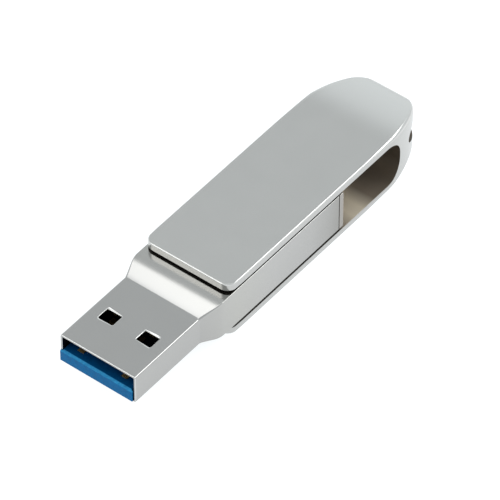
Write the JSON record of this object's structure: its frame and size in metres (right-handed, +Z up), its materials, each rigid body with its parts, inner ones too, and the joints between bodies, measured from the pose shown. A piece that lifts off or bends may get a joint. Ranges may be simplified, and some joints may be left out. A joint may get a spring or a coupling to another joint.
{
  "type": "usb flash drive",
  "caption": "Metal flash drive with a flat USB plug and a U-shaped cover that swivels about a hidden vertical pivot to cover the plug.",
  "frame": {"origin": "on the surface the drive lies on, under the middle of its length and width", "axes": "+X from the plug towards the closed end of the cover, +Y across the drive, +Z up, the face of the plug with the empty half of the mouth upwards"},
  "size_m": [0.0604, 0.0138, 0.0089],
  "materials": {
    "cover_metal": "pearl nickel plating over cast zinc alloy, satin, polished edges",
    "housing_metal": "pearl nickel plating over cast zinc alloy, satin",
    "insulator_blue": "moulded blue PBT, smooth",
    "contact_gold": "gold plated copper alloy",
    "pivot_steel": "turned steel",
    "washer_nylon": "natural nylon",
    "carrier_plastic": "moulded black ABS",
    "board_green": "green solder mask",
    "chip_black": "moulded epoxy",
    "ceramic_tan": "ceramic capacitor body",
    "can_metal": "seam welded can"
  },
  "bodies": {
    "drive": {"body_housing": "housing_metal", "rear_end_cap": "housing_metal", "upper_friction_washer": "washer_nylon", "lower_friction_washer": "washer_nylon", "contact_insulator": "insulator_blue", "contact_vbus": "contact_gold", "contact_d_minus": "contact_gold", "contact_d_plus": "contact_gold", "contact_ground": "contact_gold", "contact_ss_rx_minus": "contact_gold", "contact_ss_rx_plus": "contact_gold", "contact_ss_drain": "contact_gold", "contact_ss_tx_minus": "contact_gold", "contact_ss_tx_plus": "contact_gold", "circuit_board": "board_green", "controller_chip": "chip_black", "memory_chip": "chip_black", "crystal": "can_metal", "input_capacitor": "ceramic_tan", "core_capacitor": "ceramic_tan", "memory_capacitor": "ceramic_tan", "voltage_regulator": "chip_black", "series_resistor": "chip_black", "pull_up_resistor": "chip_black", "lower_board_carrier": "carrier_plastic", "upper_board_carrier": "carrier_plastic"},
    "cover": {"swivel_cover": "cover_metal", "upper_pivot_stud": "pivot_steel", "lower_pivot_stud": "pivot_steel"}
  },
  "joints": [
    {"name": "cover_swivel", "type": "hinge", "parent": "drive", "child": "cover", "pos_m": [-0.00545, 0, 0.00447], "axis": [0, 0, 1], "continuous": true}
  ]
}
